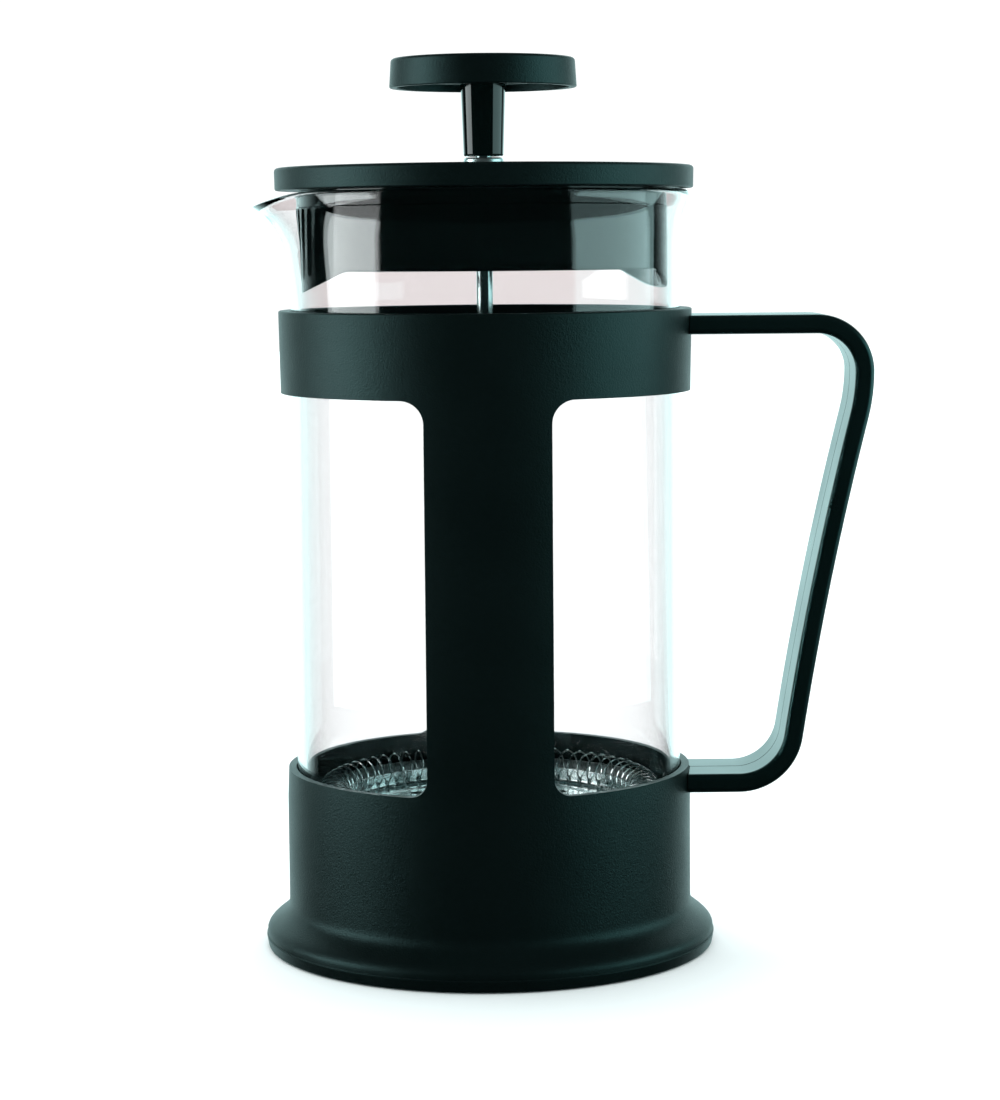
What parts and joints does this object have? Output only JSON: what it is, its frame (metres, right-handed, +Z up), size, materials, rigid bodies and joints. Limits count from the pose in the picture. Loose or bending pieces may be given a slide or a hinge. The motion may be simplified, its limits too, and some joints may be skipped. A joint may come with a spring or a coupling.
{
  "type": "french press",
  "caption": "Glass coffee press in a black plastic frame with a bow handle, a flat lid with a strainer skirt, and a plunger with a sprung mesh filter.",
  "frame": {"origin": "on the beaker's axis, in the plane of the table that the foot stands on", "axes": "+Z up along the plunger; the spout points to -X and the handle to +X; Y runs through the two struts of the frame"},
  "size_m": [0.1519, 0.1128, 0.22],
  "materials": {
    "frame_plastic": "black polypropylene, fine moulded texture",
    "handle_plastic": "black polypropylene, smooth satin",
    "beaker_glass": "clear borosilicate, fire polished rim",
    "lid_plastic": "black polypropylene, fine moulded texture",
    "skirt_plastic": "black, polished mould",
    "bush_steel": "satin",
    "knob_plastic": "black polypropylene, fine moulded texture",
    "stem_plastic": "black, polished mould",
    "insert_brass": "knurled and threaded",
    "rod_steel": "drawn stainless rod, polished",
    "nut_steel": "turned stainless",
    "plate_steel": "bright stamped stainless sheet",
    "spring_steel": "bright stainless wire",
    "cloth_steel": "woven stainless wire cloth"
  },
  "bodies": {
    "stand": {"frame": "frame_plastic", "handle": "handle_plastic"},
    "beaker": {"beaker": "beaker_glass"},
    "lid_carrier": {"lid_bush": "bush_steel"},
    "lid": {"lid_cover": "lid_plastic", "lid_skirt": "skirt_plastic"},
    "plunger": {"knob_cap": "knob_plastic", "knob_stem": "stem_plastic", "knob_insert": "insert_brass", "plunger_rod": "rod_steel", "rod_stop_nut": "nut_steel", "spiral_plate": "plate_steel", "coil_spring": "spring_steel", "mesh_filter": "cloth_steel", "cross_plate": "plate_steel", "plunger_nut": "nut_steel"}
  },
  "joints": [
    {"name": "beaker_lift", "type": "slide", "parent": "stand", "child": "beaker", "axis": [0, 0, 1], "range_m": [0, 0.16]},
    {"name": "lid_lift", "type": "slide", "parent": "beaker", "child": "lid_carrier", "axis": [0, 0, 1], "range_m": [0, 0.165]},
    {"name": "lid_turn", "type": "hinge", "parent": "lid_carrier", "child": "lid", "pos_m": [0, 0, 0.19], "axis": [0, 0, 1], "continuous": true},
    {"name": "plunger_pull", "type": "slide", "parent": "lid_carrier", "child": "plunger", "axis": [0, 0, 1], "range_m": [0, 0.12]}
  ]
}
